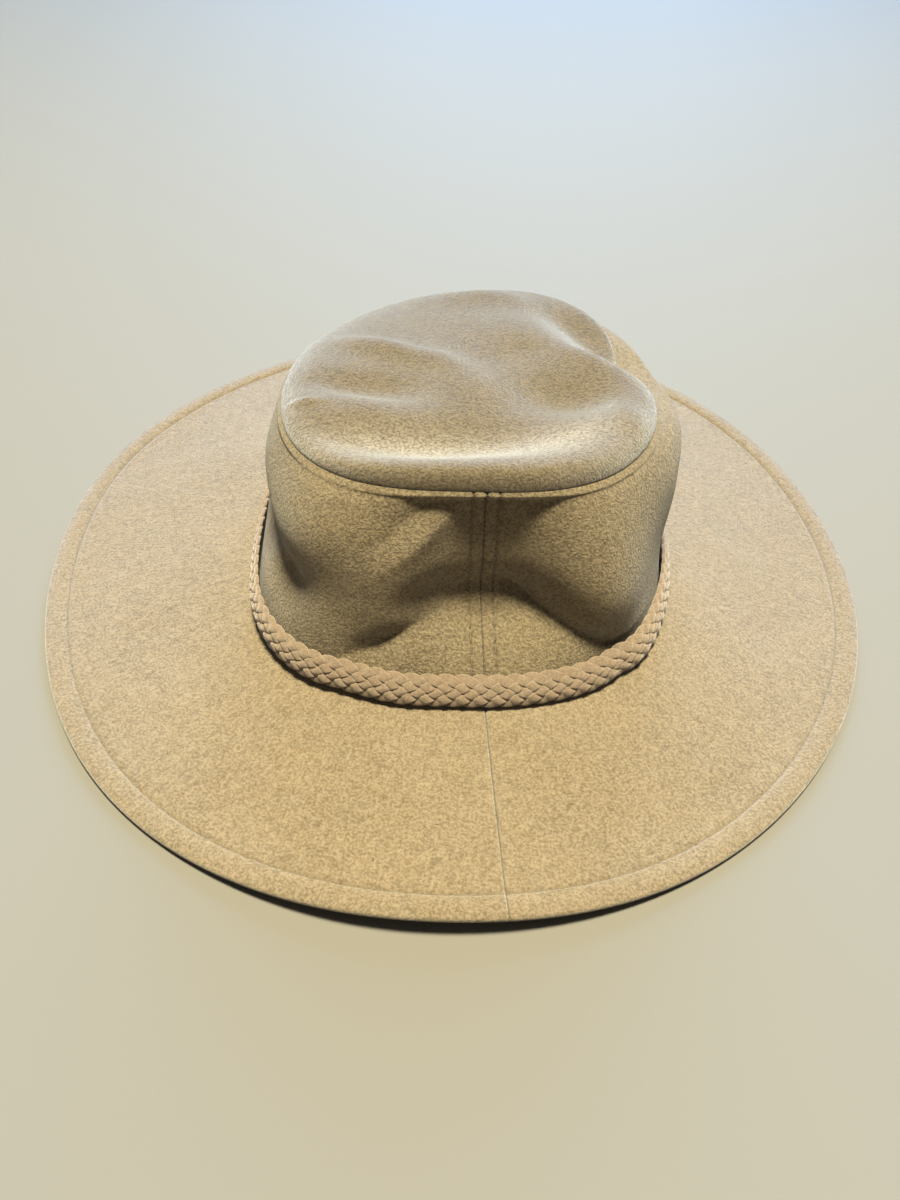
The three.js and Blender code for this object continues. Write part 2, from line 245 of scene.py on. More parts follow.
def angles_round(count, crowding, fine):
    """Angles of the columns round a piece, closer where the cloth has narrow detail."""
    share = np.arange(count) / count
    angles = SEAM_ANGLE + 360 * (share - crowding * np.sin(2 * np.pi * share) / (2 * np.pi))
    angles = np.concatenate([angles] + [SEAM_ANGLE + np.asarray(fine)])
    turned = np.unique(np.round((angles - SEAM_ANGLE) % 360, 4))
    return SEAM_ANGLE + turned[(turned < 359.995)]


def ring_faces(rings, columns, closed):
    """Quads between rings of points, each ring a closed loop of columns."""
    ring = np.arange(rings if closed else rings - 1)[:, None]
    column = np.arange(columns)[None, :]
    after, beside = (ring + 1) % rings, (column + 1) % columns
    quads = np.stack(
        [
            ring * columns + column,
            ring * columns + beside,
            after * columns + beside,
            after * columns + column,
        ],
        axis=-1,
    )
    return quads.reshape(-1, 4)


def cloth_object(name, points, faces, material, painted_shade_amounts=None, painted_highlight=None):
    """A smooth-shaded mesh object from points in millimetres, with painted shade and a painted highlight
    from the given amounts.
    """
    mesh = bpy.data.meshes.new(name)
    mesh.vertices.add(len(points))
    mesh.vertices.foreach_set("co", (np.asarray(points, float) * MM).ravel())
    starts, corners = [], []
    at = 0
    for block in faces:
        starts.append(at + np.arange(len(block)) * block.shape[1])
        corners.append(block.ravel())
        at += block.size
    mesh.loops.add(at)
    mesh.loops.foreach_set("vertex_index", np.concatenate(corners).astype(np.int32))
    starts = np.concatenate(starts).astype(np.int32)
    mesh.polygons.add(len(starts))
    mesh.polygons.foreach_set("loop_start", starts)
    mesh.update(calc_edges=True)
    mesh.validate()
    mesh.polygons.foreach_set("use_smooth", np.ones(len(mesh.polygons), bool))
    for mark, amounts in (("painted_shade", painted_shade_amounts), ("painted_highlight", painted_highlight)):
        if amounts is not None:
            shade = mesh.attributes.new(mark, "FLOAT", "POINT")
            shade.data.foreach_set("value", np.asarray(amounts, np.float32))
    mesh.materials.append(material)
    piece = bpy.data.objects.new(name, mesh)
    bpy.context.scene.collection.objects.link(piece)
    return piece


# scale, detail, roughness, value where it starts, value where it is full, share of the blend
FIBRE_BLEND = [
    (240.0, 1.0, 0.5, 0.30, 0.70, 0.09),
    (520.0, 1.0, 0.5, 0.32, 0.68, 0.21),
    (1050.0, 2.0, 0.65, 0.39, 0.61, 0.70),
]
# scale, detail, roughness, value where it starts, value where it is full
CURL_PATCHES = (260.0, 2.0, 0.5, 0.4, 0.6)
MILLING_CLOUDS = (26.0, 3.0, 0.6, 0.3, 0.7)
WARM_CLOUDS = (60.0, 2.0, 0.5, 0.35, 0.65)
DARK_FLECKS = (700.0, 2.0, 0.5, 0.72, 0.77)
# scale, twist, width
LONG_CURLS = (620.0, 1.8, 0.055)
SHORT_CURLS = (1100.0, 2.4, 0.06)
SHORT_CURL_SHARE = 0.8
CURL_DETAIL = 1.5
# the last tint is how far the painted shade in seams and stitching darkens the colour
CURL_TINT, CLOUD_TINT, WARM_TINT, FLECK_TINT, PAINTED_SHADE_TINT = 0.4, 0.10, 0.07, 0.65, 0.75
WARMER = (1.1, 0.95, 0.7)
# how much paler and cooler the painted highlight is than the pale fibres
PAINTED_HIGHLIGHT_LIFT = (1.9, 2.05, 2.5)
DARKEST = (0.3, 0.3, 0.3)
BLEND_RELIEF, CURL_RELIEF = 0.8, 0.2
NAP_HEIGHT = 0.0004
CURL_GLOSS = 0.12
FUZZ_ROUGHNESS = 0.4
FUZZ_TINT = (0.79, 0.89, 1.0, 1)
FELT_SHINE = 0.25


def shifted(colour, by):
    """A colour with each of its parts multiplied, and none over 1."""
    return tuple(min(1.0, part * times) for part, times in zip(colour, by))


def felt_cloth(name, deep, tan, pale, fuzz, nap=1.0, softness=1.0):
    """Camel wool felt: a blend of dyed and undyed fibre, milled, with a short curly nap."""
    material = bpy.data.materials.new(name)
    material.use_nodes = True
    nodes, links = material.node_tree.nodes, material.node_tree.links
    shader = nodes["Principled BSDF"]

    def node(kind, **settings):
        made = nodes.new(kind)
        for key, value in settings.items():
            if hasattr(made, key):
                setattr(made, key, value)
            else:
                made.inputs[key.replace("_", " ")].default_value = value
        return made

    where = node("ShaderNodeTexCoord").outputs["Object"]

    def noise(scale, detail, rough, twist=0.0):
        made = node("ShaderNodeTexNoise", Scale=scale, Detail=detail, Roughness=rough, Distortion=twist)
        links.new(where, made.inputs["Vector"])
        return made.outputs["Fac"]

    def maths(operation, first, second, clamp=False):
        made = node("ShaderNodeMath", operation=operation, use_clamp=clamp)
        for socket, value in zip(made.inputs, (first, second)):
            if isinstance(value, (int, float)):
                socket.default_value = value
            else:
                links.new(value, socket)
        return made.outputs[0]

    def spread(value, low, high):
        made = node("ShaderNodeMapRange", clamp=True)
        links.new(value, made.inputs["Value"])
        made.inputs["From Min"].default_value = low
        made.inputs["From Max"].default_value = high
        return made.outputs["Result"]

    def blend(share, first, second):
        made = node("ShaderNodeMix", data_type="RGBA")
        links.new(share, made.inputs["Factor"])
        for socket, value in ((made.inputs["A"], first), (made.inputs["B"], second)):
            if isinstance(value, tuple):
                socket.default_value = (*value, 1)
            else:
                links.new(value, socket)
        return made.outputs["Result"]

    def thin_lines(scale, twist, width):
        """Curled fibres: the thin lines where a twisted noise passes its middle."""
        off_middle = maths("SUBTRACT", noise(scale, CURL_DETAIL, 0.5, twist), 0.5)
        off_middle = maths("ABSOLUTE", off_middle, 0.0)
        return maths("SUBTRACT", 1.0, maths("DIVIDE", off_middle, width), True)

    def patches(scale, detail, rough, low, high):
        return spread(noise(scale, detail, rough), low, high)

    # the blend of fibres, from small clumps down to single flecks, and the curled ones on it
    heather = 0.0
    for *patch, share in FIBRE_BLEND:
        heather = maths("ADD", heather, maths("MULTIPLY", patches(*patch), share))
    fibres = maths(
        "MAXIMUM",
        maths("MULTIPLY", thin_lines(*LONG_CURLS), patches(*CURL_PATCHES)),
        maths("MULTIPLY", thin_lines(*SHORT_CURLS), SHORT_CURL_SHARE),
    )
    # wide cloudy patches left by the milling, a painted highlight, rare dark flecks, and painted shade in
    # the seams and along the stitching
    cloud = patches(*MILLING_CLOUDS)
    warmth = patches(*WARM_CLOUDS)
    dark = patches(*DARK_FLECKS)
    painted_shade = node("ShaderNodeAttribute", attribute_name="painted_shade").outputs["Fac"]
    painted_highlight = node("ShaderNodeAttribute", attribute_name="painted_highlight").outputs["Fac"]

    colour = blend(heather, deep, tan)
    colour = blend(maths("MULTIPLY", fibres, CURL_TINT), colour, pale)
    colour = blend(maths("MULTIPLY", cloud, CLOUD_TINT), colour, pale)
    colour = blend(maths("MULTIPLY", warmth, WARM_TINT), colour, shifted(tan, WARMER))
    # painted highlight: a paler, cooler colour where the amount is set, standing in for light on the crown
    # top's front edge
    colour = blend(painted_highlight, colour, blend(heather, tan, shifted(pale, PAINTED_HIGHLIGHT_LIFT)))
    colour = blend(maths("MULTIPLY", dark, FLECK_TINT), colour, shifted(deep, DARKEST))
    # painted shade: a darker colour in the seams' furrows and along the rows of stitching
    colour = blend(maths("MULTIPLY", painted_shade, PAINTED_SHADE_TINT), colour, shifted(deep, DARKEST))
    links.new(colour, shader.inputs["Base Color"])

    relief = maths("ADD", maths("MULTIPLY", fibres, CURL_RELIEF), maths("MULTIPLY", heather, BLEND_RELIEF))
    bump = node("ShaderNodeBump", Strength=nap, Distance=NAP_HEIGHT)
    links.new(relief, bump.inputs["Height"])
    links.new(bump.outputs["Normal"], shader.inputs["Normal"])
    links.new(maths("SUBTRACT", 1.0, maths("MULTIPLY", fibres, CURL_GLOSS)), shader.inputs["Roughness"])
    shader.inputs["Diffuse Roughness"].default_value = softness
    shader.inputs["Sheen Weight"].default_value = fuzz
    shader.inputs["Sheen Roughness"].default_value = FUZZ_ROUGHNESS
    shader.inputs["Sheen Tint"].default_value = FUZZ_TINT
    shader.inputs["Specular IOR Level"].default_value = FELT_SHINE
    return material


brim_felt = felt_cloth(
    "brim_felt",
    deep=(0.115, 0.082, 0.042),
    tan=(0.285, 0.217, 0.134),
    pale=(0.41, 0.345, 0.257),
    nap=0.6,
    fuzz=0.7,
    softness=0.5,
)

BRIM_COLUMNS = 700
SEAM_FINE = [-0.5, -0.4, -0.32, -0.26, -0.2, -0.15, -0.1, -0.05, 0.05, 0.1, 0.15, 0.2, 0.26, 0.32, 0.4, 0.5]
BRIM_OPEN_ROWS = 52
BRIM_OPEN_TO = 14.0
# painted shade along the front seam and the hem's stitch line: its half width and how dark it is
SHADE_LINE_HALF_WIDTH = 0.3
SEAM_SHADE = 0.65
HEM_SHADE = 0.55
BRIM_EDGE_TURNS = [90, 72, 54, 36, 18, 0, -18, -36, -54, -72, -90]
BRIM_UNDER_ROWS = 16
BRIM_UNDER_TO = 16.0
# distances in from the brim's edge, where the rings of points are closer
HEM_ABOVE = np.concatenate([np.arange(13.4, 5.5, -0.45), [4.8, 4.0, 3.2, 2.4]])
HEM_BELOW = (3.0, 5.0, 7.0, 8.0, 8.6, 9.0, 9.4, 10.0, 11.0, 13.0)


def brim_painted_shade(points):
    """Painted shade in the furrow of the short seam at the front and along the hem's stitch line."""
    x, y = points[:, 0] - CROWN_X, points[:, 1] - CROWN_Y
    angle = np.degrees(np.arctan2(y, x))
    radius = np.hypot(x, y)
    seam = np.exp(-((np.radians(turn_from(angle, SEAM_ANGLE)) * radius / SHADE_LINE_HALF_WIDTH) ** 2))
    hem = np.exp(-(((brim_reach(angle) - radius - HEM_IN) / SHADE_LINE_HALF_WIDTH) ** 2))
    return np.maximum(SEAM_SHADE * seam, HEM_SHADE * hem)


def brim_mesh():
    angle = angles_round(BRIM_COLUMNS, 0.0, SEAM_FINE)
    inner = head_radius(angle) - FELT
    width = brim_reach(angle) - inner
    start = FELT / width
    rings = []
    hem_share = 1 - BRIM_OPEN_TO / width
    for step in np.linspace(0, 1, BRIM_OPEN_ROWS):
        share = start + (hem_share - start) * step
        rings.append(brim_point(angle, share, brim_top(angle, share)))
    for from_edge in HEM_ABOVE:
        share = 1 - from_edge / width
        rings.append(brim_point(angle, share, brim_top(angle, share)))
    for turn in np.radians(BRIM_EDGE_TURNS):
        back = BRIM_THICK / 2 * (1 - np.cos(turn))
        above = BRIM_THICK / 2 * (1 + np.sin(turn))
        rings.append(brim_point(angle, 1 - back / width, above))
    for from_edge in HEM_BELOW:
        share = 1 - from_edge / width
        valley = HEM_DEPTH * np.exp(-(((from_edge - HEM_IN) / HEM_HALF_WIDTH) ** 2))
        rings.append(brim_point(angle, share, valley))
    for step in np.linspace(0, 1, BRIM_UNDER_ROWS):
        share = (1 - BRIM_UNDER_TO / width) * (1 - step)
        rings.append(brim_point(angle, share, 0 * angle))
    rings = rings[::-1]
    return np.concatenate(rings), ring_faces(len(rings), len(angle), True)


THREAD_RADIUS = 0.17
STITCH_LENGTH = 2.9
STITCH_SHARE = 0.76
STITCH_ARCH, STITCH_DIVE = 1.6, 1.1
STITCH_POINTS = 7
THREAD_SIDES = 6


def stitch_mesh(surface, outward, starts, length):
    """Short runs of thread that lie along a line on the cloth and dive into it at both ends."""
    share = np.linspace(0, 1, STITCH_POINTS)
    middle = surface(np.asarray(starts)[:, None] + length * share)
    out = outward(middle)
    lift = THREAD_RADIUS * (STITCH_ARCH * np.sin(np.pi * share) ** 0.5 - STITCH_DIVE)
    middle = middle + out * lift[None, :, None]
    along = np.gradient(middle, axis=1)
    along = along / np.linalg.norm(along, axis=-1, keepdims=True)
    side = np.cross(along, out)
    side = side / np.linalg.norm(side, axis=-1, keepdims=True)
    turn = (2 * np.pi * np.arange(THREAD_SIDES) / THREAD_SIDES)[:, None]
    ring = np.cos(turn) * side[:, :, None, :] + np.sin(turn) * np.cross(along, side)[:, :, None, :]
    points = middle[:, :, None, :] + THREAD_RADIUS * ring
    first = (np.arange(len(starts)) * STITCH_POINTS * THREAD_SIDES)[:, None, None]
    tube = (ring_faces(STITCH_POINTS, THREAD_SIDES, False)[None] + first).reshape(-1, 4)
    cap = np.arange(THREAD_SIDES)
    caps = np.stack([cap[::-1], cap + (STITCH_POINTS - 1) * THREAD_SIDES])
    return points.reshape(-1, 3), [tube, (caps[None] + first).reshape(-1, THREAD_SIDES)]


THREAD_PLIES, THREAD_UNEVEN = 900.0, 2.0
THREAD_GROOVE, THREAD_GROOVE_DEPTH = 0.5, 0.0001
THREAD_ROUGHNESS, THREAD_SHINE = 0.75, 0.3


def sewing_thread(name, dark, light):
    """Matched cotton thread, two plies twisted together."""
    material = bpy.data.materials.new(name)
    material.use_nodes = True
    nodes, links = material.node_tree.nodes, material.node_tree.links
    shader = nodes["Principled BSDF"]
    where = nodes.new("ShaderNodeTexCoord")
    plies = nodes.new("ShaderNodeTexWave")
    plies.bands_direction = "DIAGONAL"
    plies.inputs["Scale"].default_value = THREAD_PLIES
    plies.inputs["Distortion"].default_value = THREAD_UNEVEN
    links.new(where.outputs["Object"], plies.inputs["Vector"])
    shade = nodes.new("ShaderNodeMix")
    shade.data_type = "RGBA"
    shade.inputs["A"].default_value = (*dark, 1)
    shade.inputs["B"].default_value = (*light, 1)
    links.new(plies.outputs["Fac"], shade.inputs["Factor"])
    links.new(shade.outputs["Result"], shader.inputs["Base Color"])
    bump = nodes.new("ShaderNodeBump")
    bump.inputs["Strength"].default_value = THREAD_GROOVE
    bump.inputs["Distance"].default_value = THREAD_GROOVE_DEPTH
    links.new(plies.outputs["Fac"], bump.inputs["Height"])
    links.new(bump.outputs["Normal"], shader.inputs["Normal"])
    shader.inputs["Roughness"].default_value = THREAD_ROUGHNESS
    shader.inputs["Specular IOR Level"].default_value = THREAD_SHINE
    return material


def hem_line(angle):
    """Points on the upper ply along the row of stitches, for stitches placed by angle."""
    share = 1 - HEM_IN / (brim_reach(angle) - head_radius(angle) + FELT)
    return brim_point(angle, share, brim_top(angle, share))


def upward(points):
    return np.broadcast_to(np.array([0.0, 0.0, 1.0]), points.shape)


tan_thread = sewing_thread("tan_thread", (0.15, 0.105, 0.058), (0.31, 0.235, 0.15))
hem_stitches = int(2 * np.pi * (BRIM_HALF_WIDTH + BRIM_HALF_LENGTH) / 2 / STITCH_LENGTH)
hem_step = 360.0 / hem_stitches
hem_starts = SEAM_ANGLE + hem_step * np.arange(hem_stitches)
points, faces = stitch_mesh(hem_line, upward, hem_starts, hem_step * STITCH_SHARE)
hem_stitching = cloth_object("hem_stitching", points, faces, tan_thread)
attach(hem_stitching, "root")

points, faces = brim_mesh()
# the brim's colour carries painted shade along its front seam and hem stitching
brim = cloth_object("brim_cloth", points, [faces], brim_felt, brim_painted_shade(points))
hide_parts("brim")
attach(brim, "root")


# ---- crown side ------------------------------------------------------------------------
# One band of the same felt, closed at the front by a seam that is pressed open and stitched
# down on both sides, and sewn to the brim below.  It is soft: the front is pushed in on each
# side of the seam, the left side is pinched, and the cloth swells between its seams.
SIDE_BELLY = 4.0
FOLD_FADES = (0, 0.16, 0.93, 1)
WELT_RISE, WELT_DROP, WELT_HALF_WIDTH = 0.8, 1.4, 0.7
TIP_HALF_WIDTH, TIP_HALF_LENGTH, TIP_SQUARENESS = 70.0, 77.0, 2.7
TIP_SEAM_HEIGHT = 84.0
TIP_BENDS = [(42, -5, 22), (17, -6, 14), (-18, 2, 20), (140, -4, 26)]
TIP_SEAM_BENDS = [(-85, 1.5, 30), (16, -6, 18), (130, -9, 40)]
FOLD_RADIUS = 88.0
# angle, height, half length, half width, turn, depth, crispness
SIDE_FOLDS = [
    (-83, 26, 11.5, 24, 0, 12.5, 3),
    (-83, 46, 24, 24, 0, 12, 3),
    (-67, 20, 20, 4.5, -56, 6, 1.1),
    (-57, 32, 22, 16, -20, -6, 2),
    (-105, 17.5, 13, 5, 62, 5, 1.4),
    (-99, 33, 9, 7, 50, 3, 2),
    (-98.5, 56, 15, 4, 50, -1.5, 1.5),
    (-103, 62, 12, 5, 50, 2.5, 1.5),
    (-124, 57, 16, 18, 0, -4, 2),
    (-131, 31, 11, 9, 90, 5.5, 1.6),
    (-152, 35, 22, 11, 90, 10, 2),
    (10, 60, 60, 12, 90, -8, 2),
    (18, 60, 24, 12, 90, -5, 2),
    (-15, 42, 30, 16, 90, -3, 2),
]
TOPSTITCH_ASIDE = 4.4
TOPSTITCH_DEPTH = 0.4
TOPSTITCH_HALF_WIDTH = 0.5
SIDE_BILLOW = 0.45
SIDE_BILLOW_FADES = (0.1, 0.25, 0.86, 0.95)
SIDE_WAVES = [(4, 3.0), (7, -5.0), (9, 6.5), (13, -7.0), (-6, 8.0), (17, 9.5)]


def tip_radius(angle):
    return oval(angle, TIP_HALF_WIDTH, TIP_HALF_LENGTH, TIP_SQUARENESS) + bends(TIP_BENDS, angle)


def tip_seam_height(angle):
    return TIP_SEAM_HEIGHT + bends(TIP_SEAM_BENDS, angle)


def fold_depth(angle, height):
    """How far the crown side is pushed in, or out where it is less than nothing."""
    depth = 0.0
    for at, up_at, length, width, turned, deep, crisp in SIDE_FOLDS:
        across = np.radians(turn_from(angle, at)) * FOLD_RADIUS
        up = height - up_at
        cos, sin = np.cos(np.radians(turned)), np.sin(np.radians(turned))
        along = (up * cos + across * sin) / length
        aside = np.abs((across * cos - up * sin) / width)
        depth = depth + deep * np.exp(-(along**2) - aside**crisp)
    return depth


def side_radius(angle, share):
    bottom = crown_base(angle) + SEWING_GAP
    top = tip_seam_height(angle)
    height = bottom + (top - bottom) * share
    belly = SIDE_BELLY * np.sin(np.pi * share**2)
    free = fade_in_out(share, *FOLD_FADES)
    welt = WELT_RISE * np.exp(-(((top - height - WELT_DROP) / WELT_HALF_WIDTH) ** 2))
    round_radius = head_radius(angle) + (tip_radius(angle) - head_radius(angle)) * share + belly
    return round_radius - free * fold_depth(angle, height - bottom) + welt


def side_point(angle, share, inward):
    bottom = crown_base(angle) + SEWING_GAP
    height = bottom + (tip_seam_height(angle) - bottom) * share
    radius = side_radius(angle, share)
    if inward == 0:
        aside = np.radians(turn_from(angle, SEAM_ANGLE)) * radius
        off_row = (np.abs(aside) - TOPSTITCH_ASIDE) / TOPSTITCH_HALF_WIDTH
        free = fade_in_out(share, *SIDE_BILLOW_FADES)
        swell = SIDE_BILLOW * free * billow(angle, share, SIDE_WAVES, 8)
        radius = radius - seam_furrow(angle, radius) - TOPSTITCH_DEPTH * np.exp(-(off_row**2)) + swell
    return place(angle, radius - inward, height)


SIDE_COLUMNS = 600
SIDE_FINE = np.concatenate([SEAM_FINE, np.arange(2.1, 3.7, 0.16), -np.arange(2.1, 3.7, 0.16)])
SIDE_ROWS = np.concatenate([np.linspace(0, 0.9, 102), np.linspace(0.906, 1, 20)])
SIDE_INNER_ROWS = np.linspace(1, 0, 24)

side_felt = felt_cloth(
    "crown_side_felt",
    deep=(0.082, 0.056, 0.027),
    tan=(0.285, 0.217, 0.126),
    pale=(0.42, 0.355, 0.25),
    nap=0.9,
    fuzz=0.25,
    softness=0.5,
)


def crown_side_mesh():
    angle = angles_round(SIDE_COLUMNS, 0.25, SIDE_FINE)
    rings = [side_point(angle, share, 0) for share in SIDE_ROWS]
    rings += [side_point(angle, share, FELT) for share in SIDE_INNER_ROWS]
    return np.concatenate(rings), ring_faces(len(rings), len(angle), True)


# painted shade in the crown side's front seam and in dashes along its stitching
PRESSED_SEAM_SHADE = 0.7
TOPSTITCH_SHADE, TOPSTITCH_FAINTEST = 0.95, 0.35
TOPSTITCH_SHADE_HALF_WIDTH = 1.4 * SHADE_LINE_HALF_WIDTH
DASH_SOFTNESS = 0.12
TOPSTITCH_FROM, TOPSTITCH_TO = 18.0, 80.0


def crown_side_painted_shade(points):
    """Painted shade in the front seam's furrow, and in a dashed line along the stitch holes on each side of
    it.
    """
    x, y, height = points[:, 0] - CROWN_X, points[:, 1] - CROWN_Y, points[:, 2]
    aside = np.radians(turn_from(np.degrees(np.arctan2(y, x)), SEAM_ANGLE)) * np.hypot(x, y)
    seam = PRESSED_SEAM_SHADE * np.exp(-((aside / SHADE_LINE_HALF_WIDTH) ** 2))
    row = np.exp(-(((np.abs(aside) - TOPSTITCH_ASIDE) / TOPSTITCH_SHADE_HALF_WIDTH) ** 2))
    from_middle = np.abs(((height / STITCH_LENGTH) % 1) - 0.5)
    dash = smooth_step(from_middle, 0.5 * STITCH_SHARE, 0.5 * STITCH_SHARE - DASH_SOFTNESS)
    dashes = TOPSTITCH_FAINTEST + (1 - TOPSTITCH_FAINTEST) * dash
    return np.maximum(seam, TOPSTITCH_SHADE * row * dashes)


def outward(points):
    flat = points * [1.0, 1.0, 0.0] - [CROWN_X, CROWN_Y, 0.0]
    return flat / np.linalg.norm(flat, axis=-1, keepdims=True)


def topstitch_line(aside):
    """The line beside the front seam that a row of stitches follows, placed by height."""

    def line(height):
        bottom = crown_base(SEAM_ANGLE) + SEWING_GAP
        share = (height - bottom) / (tip_seam_height(SEAM_ANGLE) - bottom)
        angle = SEAM_ANGLE + np.degrees(aside / side_radius(SEAM_ANGLE, share))
        return side_point(angle, share, 0)

    return line


starts = np.arange(TOPSTITCH_FROM, TOPSTITCH_TO, STITCH_LENGTH)
rows = [
    stitch_mesh(topstitch_line(aside), outward, starts, STITCH_LENGTH * STITCH_SHARE)
    for aside in (-TOPSTITCH_ASIDE, TOPSTITCH_ASIDE)
]
points = np.concatenate([row_points for row_points, _ in rows])
faces = [np.concatenate([left, right + len(rows[0][0])]) for left, right in zip(rows[0][1], rows[1][1])]
seam_stitching = cloth_object("front_seam_stitching", points, faces, tan_thread)
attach(seam_stitching, "root")

points, faces = crown_side_mesh()
# the crown side's colour carries painted shade in its front seam and stitching
crown_side = cloth_object("crown_side_cloth", points, [faces], side_felt, crown_side_painted_shade(points))
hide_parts("crown_side")
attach(crown_side, "root")


# ---- crown top -------------------------------------------------------------------------
# An oval panel of the same felt, sewn to the crown side.  Its seam is turned down and
# topstitched, so the edge of the panel rolls over into a narrow groove with a welt below.
# The middle is slack and lies in soft ridges and hollows.
TIP_MIDDLE_HEIGHT = 81.0
TIP_DOME = 9.0
SHOULDER = 5.0
SHOULDER_BENDS = [(-88, 22, 55)]
SHOULDER_TIGHTNESS = 1.6
TIP_BILLOW = 0.35
TIP_BILLOW_FADES = (0.8, 0.95)
# x, y, half length, half width, turn, height
TIP_FOLDS = [
    (5, 57, 26, 9, -8, 3.5),
    (22, 20, 24, 15, -48, 4),
    (48, 5, 17, 8, -28, 4),
    (50, 33, 28, 12, -50, -9),
    (-33, 7, 24, 7, -24, 4),
    (-8, -5, 12, 8, -50, 2.5),
    (2, -20, 16, 12, 0, 2.5),
    (-38, -21, 24, 8, -8, -4),
    (-34, -38, 18, 8, -14, 1.6),
    (-59, -34.5, 8, 2.5, 0, 1.5),
    (-50, -50, 14, 6, -20, -1.5),
    (38, -22, 22, 12, 6, -6),
    (60, -38, 8, 12, 30, 2),
    (-10, -54, 42, 12, 4, -7.5),
    (14, -42, 30, 14, 0, -2),
]
TIP_WAVES = [(2, 5.0), (3, -8.0), (5, 9.0), (-4, 12.0), (7, -11.0)]


def soft_patches(rows, x, y):
    """The sum of soft-edged oval patches at points on the crown top."""
    total = 0.0
    for at_x, at_y, length, width, turned, amount in rows:
        cos, sin = np.cos(np.radians(turned)), np.sin(np.radians(turned))
        along = ((x - at_x) * cos + (y - at_y) * sin) / length
        aside = ((y - at_y) * cos - (x - at_x) * sin) / width
        total = total + amount * np.exp(-(along**2) - aside**2)
    return total


def tip_point(angle, share, below):
    radius = (tip_radius(angle) - below) * share
    x, y = radius * np.cos(np.radians(angle)), radius * np.sin(np.radians(angle))
    shoulder = SHOULDER + bends(SHOULDER_BENDS, angle)
    roll = (1 - share**shoulder) ** (1 / SHOULDER_TIGHTNESS)
    seam = TIP_MIDDLE_HEIGHT + (tip_seam_height(angle) - TIP_MIDDLE_HEIGHT) * share**2
    rise = (TIP_DOME + soft_patches(TIP_FOLDS, x, y) - below) * roll
    if below == 0:
        swell = TIP_BILLOW * share * (1 - smooth_step(share, *TIP_BILLOW_FADES))
        rise = rise + swell * billow(angle, share, TIP_WAVES, 5)
    return place(angle, radius, seam + SEWING_GAP + rise)


TIP_COLUMNS = 480
TIP_ROWS = np.concatenate([np.linspace(0.02, 0.9, 70), 1 - 0.1 * (1 - np.linspace(0.06, 1, 26)) ** 1.8])
TIP_INNER_ROWS = np.concatenate([[1, 0.99, 0.97, 0.94], np.linspace(0.9, 0.05, 24)])

tip_felt = felt_cloth(
    "crown_top_felt",
    deep=(0.080, 0.055, 0.026),
    tan=(0.240, 0.178, 0.099),
    pale=(0.345, 0.295, 0.21),
    fuzz=0.75,
)


def crown_tip_mesh():
    angle = angles_round(TIP_COLUMNS, 0.0, [])
    rings = [tip_point(angle, share, 0) for share in TIP_ROWS]
    rings += [tip_point(angle, share, FELT) for share in TIP_INNER_ROWS]
    rings = rings[::-1]
    count = len(angle)
    middle = [tip_point(np.array([0.0]), 0.0, FELT), tip_point(np.array([0.0]), 0.0, 0)]
    points = np.concatenate(rings + middle)
    first, last = len(points) - 2, len(points) - 1
    column = np.arange(count)
    beside = (column + 1) % count
    end = (len(rings) - 1) * count
    fans = np.concatenate(
        [
            np.stack([np.full(count, first), beside, column], axis=-1),
            np.stack([np.full(count, last), end + column, end + beside], axis=-1),
        ]
    )
    return points, [ring_faces(len(rings), count, False), fans]


# patches of painted highlight along the crown top's front edge
# x, y, half length, half width, turn, amount
TIP_PAINTED_HIGHLIGHT = [
    (-12, -56, 42, 10, 0, 0.6),
    (36, -48, 20, 8, 22, 0.45),
]


def crown_top_painted_highlight(points):
    """A painted highlight: paler colour along the front edge of the top, standing in for the light caught
    on that slope.
    """
    x, y = points[:, 0] - CROWN_X, points[:, 1] - CROWN_Y
    return soft_patches(TIP_PAINTED_HIGHLIGHT, x, y)


points, faces = crown_tip_mesh()
# the crown top's colour carries a painted highlight along its front edge
crown_top = cloth_object("crown_top_cloth", points, faces, tip_felt, painted_highlight=crown_top_painted_highlight(points))
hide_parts("crown_tip")
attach(crown_top, "root")


# ---- plaited hat band ------------------------------------------------------------------
# Five strips of softer, pinker felt plaited flat, each going over one and under the next,
# closed to a loop and dropped over the crown.  It leans in against the crown side and
# bridges its hollows.
BAND_WIDTH, BAND_THICK = 10.8, 2.8
BAND_LEAN, BAND_LEANS = 12.0, [(-84, 26, 48)]
# the loop is laid out clear of the brim, then settles until it all but touches
BAND_CLEARANCE = 0.4
BAND_SETTLES = 0.7
BAND_RISES = [(225, 2.8, 30)]
BAND_STANDS_OFF = [(178, 0.6, 30), (-80, 1.2, 40)]
BAND_TOUCHES = (0, 2.7, 5.4, 8.1, 10.8)
STRANDS = 5
PLAIT_TURNS = 20
STRIP_STEPS = 40
STRIP_WIDTH, STRIP_THICK = 3.45, 1.35
PLAIT_REACH = 4.6
PLAIT_ROUNDING = 0.09
PLAIT_WEAVE = 0.62
WEAVE_STEEPNESS = 0.3
STRIP_SIDES = 16
STRIP_SQUARENESS = (0.45, 0.55)
OVER_AT, OVERS_APART, FLAT_AT_EDGE = 0.1, 0.2, 0.05
BAND_SAMPLES = 2000
LOWER_EDGE_LEAN = 0.3
LEAST_BEND = 0.01


def band_bottom(angle):
    return crown_base(angle) + BAND_CLEARANCE - BAND_SETTLES + bends(BAND_RISES, angle)


def band_lean(angle):
    return np.radians(BAND_LEAN + bends(BAND_LEANS, angle))


